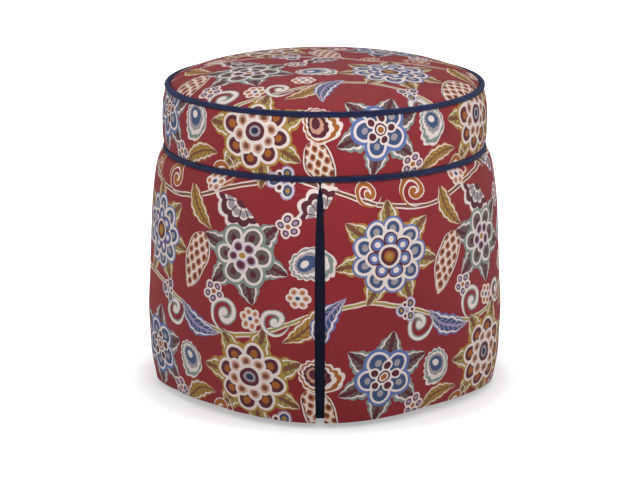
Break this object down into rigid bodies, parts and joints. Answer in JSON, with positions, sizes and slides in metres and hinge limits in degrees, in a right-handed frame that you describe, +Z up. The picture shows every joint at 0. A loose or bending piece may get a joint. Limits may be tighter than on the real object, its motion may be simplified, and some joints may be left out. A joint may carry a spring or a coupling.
{
  "type": "skirted tuffet",
  "caption": "Round upholstered tuffet with a crowned seat, piped edges and a long skirt with kick pleats.",
  "frame": {"origin": "on the floor, under the middle of the seat", "axes": "+Z up; the front kick pleat faces -Y and the other three face +X, +Y and -X"},
  "size_m": [0.5046, 0.5046, 0.462],
  "materials": {
    "print_cloth": "matte",
    "navy_cloth": "matte",
    "lining_cloth": "matte",
    "cambric": "matte",
    "batting": "matte",
    "foam": "matte",
    "buckram": "matte",
    "plywood": "matte",
    "hardwood": "matte",
    "fibreboard": "matte",
    "nylon": "satin",
    "zinc_steel": "satin"
  },
  "bodies": {
    "root": {"top_panel": "print_cloth", "boxing_band": "print_cloth", "top_piping": "navy_cloth", "lower_piping": "navy_cloth", "cushion_batting": "batting", "seat_foam": "foam", "seat_deck": "plywood", "base_ring": "plywood", "drum_wall": "fibreboard", "drum_batting": "batting", "skirt_heading": "buckram", "tack_strip": "fibreboard", "dust_cover": "cambric", "skirt_panel_1": "print_cloth", "skirt_panel_2": "print_cloth", "skirt_panel_3": "print_cloth", "skirt_panel_4": "print_cloth", "pleat_insert_1": "navy_cloth", "pleat_insert_2": "navy_cloth", "pleat_insert_3": "navy_cloth", "pleat_insert_4": "navy_cloth", "skirt_lining_1": "lining_cloth", "skirt_lining_2": "lining_cloth", "skirt_lining_3": "lining_cloth", "skirt_lining_4": "lining_cloth", "post_1": "hardwood", "post_2": "hardwood", "post_3": "hardwood", "post_4": "hardwood", "foot_1": "hardwood", "foot_2": "hardwood", "foot_3": "hardwood", "foot_4": "hardwood", "glide_1": "nylon", "glide_2": "nylon", "glide_3": "nylon", "glide_4": "nylon", "foot_bolt_1": "zinc_steel", "foot_bolt_2": "zinc_steel", "foot_bolt_3": "zinc_steel", "foot_bolt_4": "zinc_steel", "deck_screw_1": "zinc_steel", "deck_screw_2": "zinc_steel", "deck_screw_3": "zinc_steel", "deck_screw_4": "zinc_steel", "base_screw_1": "zinc_steel", "base_screw_2": "zinc_steel", "base_screw_3": "zinc_steel", "base_screw_4": "zinc_steel"}
  },
  "joints": []
}
